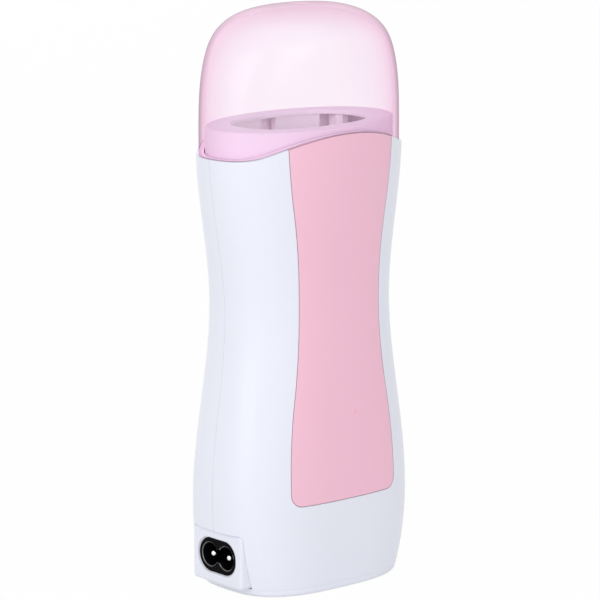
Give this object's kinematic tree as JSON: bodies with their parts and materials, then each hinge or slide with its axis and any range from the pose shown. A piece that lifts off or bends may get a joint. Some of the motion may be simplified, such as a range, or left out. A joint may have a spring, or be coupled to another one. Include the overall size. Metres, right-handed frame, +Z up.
{
  "type": "roll-on wax heater",
  "caption": "Handheld heater for roll-on wax cartridges: waisted body with hourglass grips, clear pull-off cap over the open cartridge well, and a mains inlet low on its narrow side.",
  "frame": {"origin": "centre of the base, on the surface the heater stands on", "axes": "+Z up, X across the wide faces with the mains inlet on the -X side, the front face with the indicator looks along -Y"},
  "size_m": [0.0824, 0.0518, 0.205],
  "materials": {
    "shell_white": "gloss",
    "deck_white": "satin",
    "grip_pink": "satin",
    "clear_pink": "clear gloss",
    "socket_black": "gloss",
    "contact_metal": "bright plated",
    "lens_milky": "satin",
    "led_clear": "gloss",
    "board_green": "satin",
    "resistor_tan": "matt",
    "bare_aluminium": "brushed",
    "inner_plastic": "matt",
    "heater_grey": "satin",
    "insulation_amber": "satin",
    "spring_steel": "satin",
    "fuse_metal": "satin",
    "lead_brown": "satin",
    "lead_blue": "satin",
    "lead_grey": "satin",
    "screw_steel": "zinc plated"
  },
  "bodies": {
    "housing": {"front_shell": "shell_white", "rear_shell": "shell_white", "base_plate": "shell_white", "inlet_bezel": "shell_white", "top_deck": "deck_white", "front_grip": "grip_pink", "rear_grip": "grip_pink", "inlet_body": "socket_black", "inlet_pins": "contact_metal", "indicator_lens": "lens_milky", "indicator_led": "led_clear", "indicator_board": "board_green", "board_resistors": "resistor_tan", "heating_sleeve": "bare_aluminium", "cartridge_seat": "inner_plastic", "ptc_heater": "heater_grey", "insulation_sheet": "insulation_amber", "heater_clip": "spring_steel", "thermal_fuse": "fuse_metal", "live_lead": "lead_brown", "neutral_lead": "lead_blue", "led_leads": "lead_grey", "shell_screws": "screw_steel", "base_screws": "screw_steel"},
    "cap": {"cap": "clear_pink"}
  },
  "joints": [
    {"name": "cap_lift", "type": "slide", "parent": "housing", "child": "cap", "axis": [0, 0, 1], "range_m": [0, 0.08]}
  ]
}
